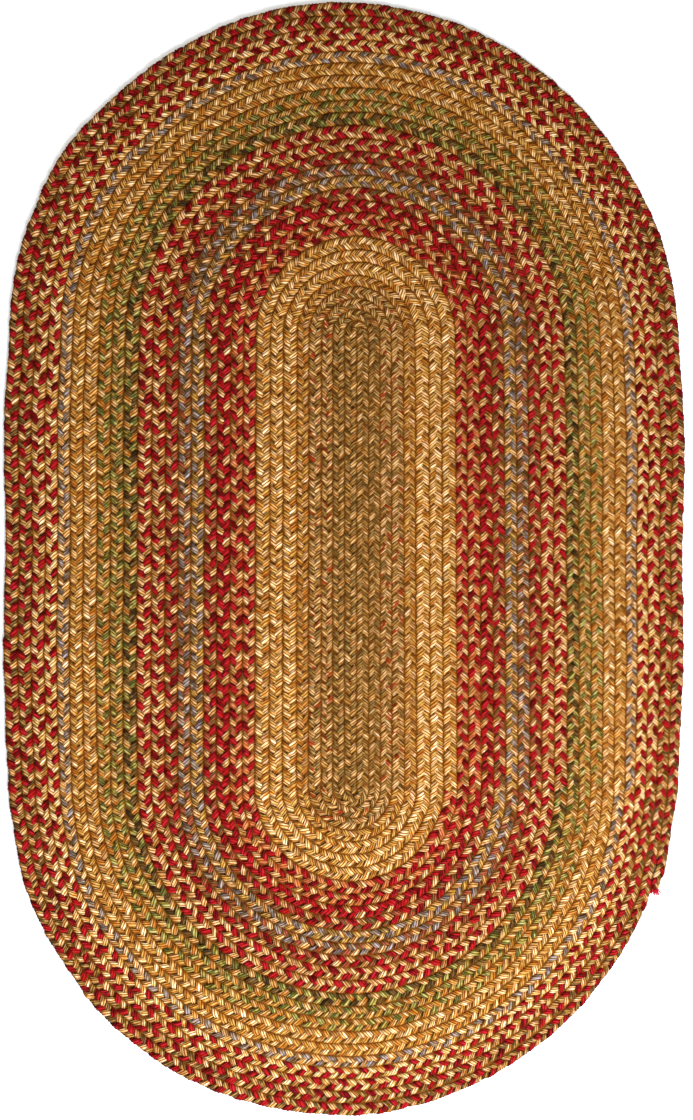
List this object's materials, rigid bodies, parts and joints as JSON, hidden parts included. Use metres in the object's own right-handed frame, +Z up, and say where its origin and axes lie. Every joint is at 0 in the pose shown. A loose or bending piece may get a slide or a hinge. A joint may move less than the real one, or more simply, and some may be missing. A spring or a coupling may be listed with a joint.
{
  "type": "oval braided rug",
  "caption": "Flat oval rug of three-strand jute braid, wound from a straight spine and laced turn to turn, with an uneven rim.",
  "frame": {"origin": "on the floor under the middle of the rug", "axes": "+Y along the long axis towards the upper end, +X to the right side, +Z up"},
  "size_m": [0.9109, 1.4881, 0.0095],
  "materials": {
    "jute_braid": "matt braided jute yarn"
  },
  "bodies": {
    "root": {"braided_rug": "jute_braid"}
  },
  "joints": []
}
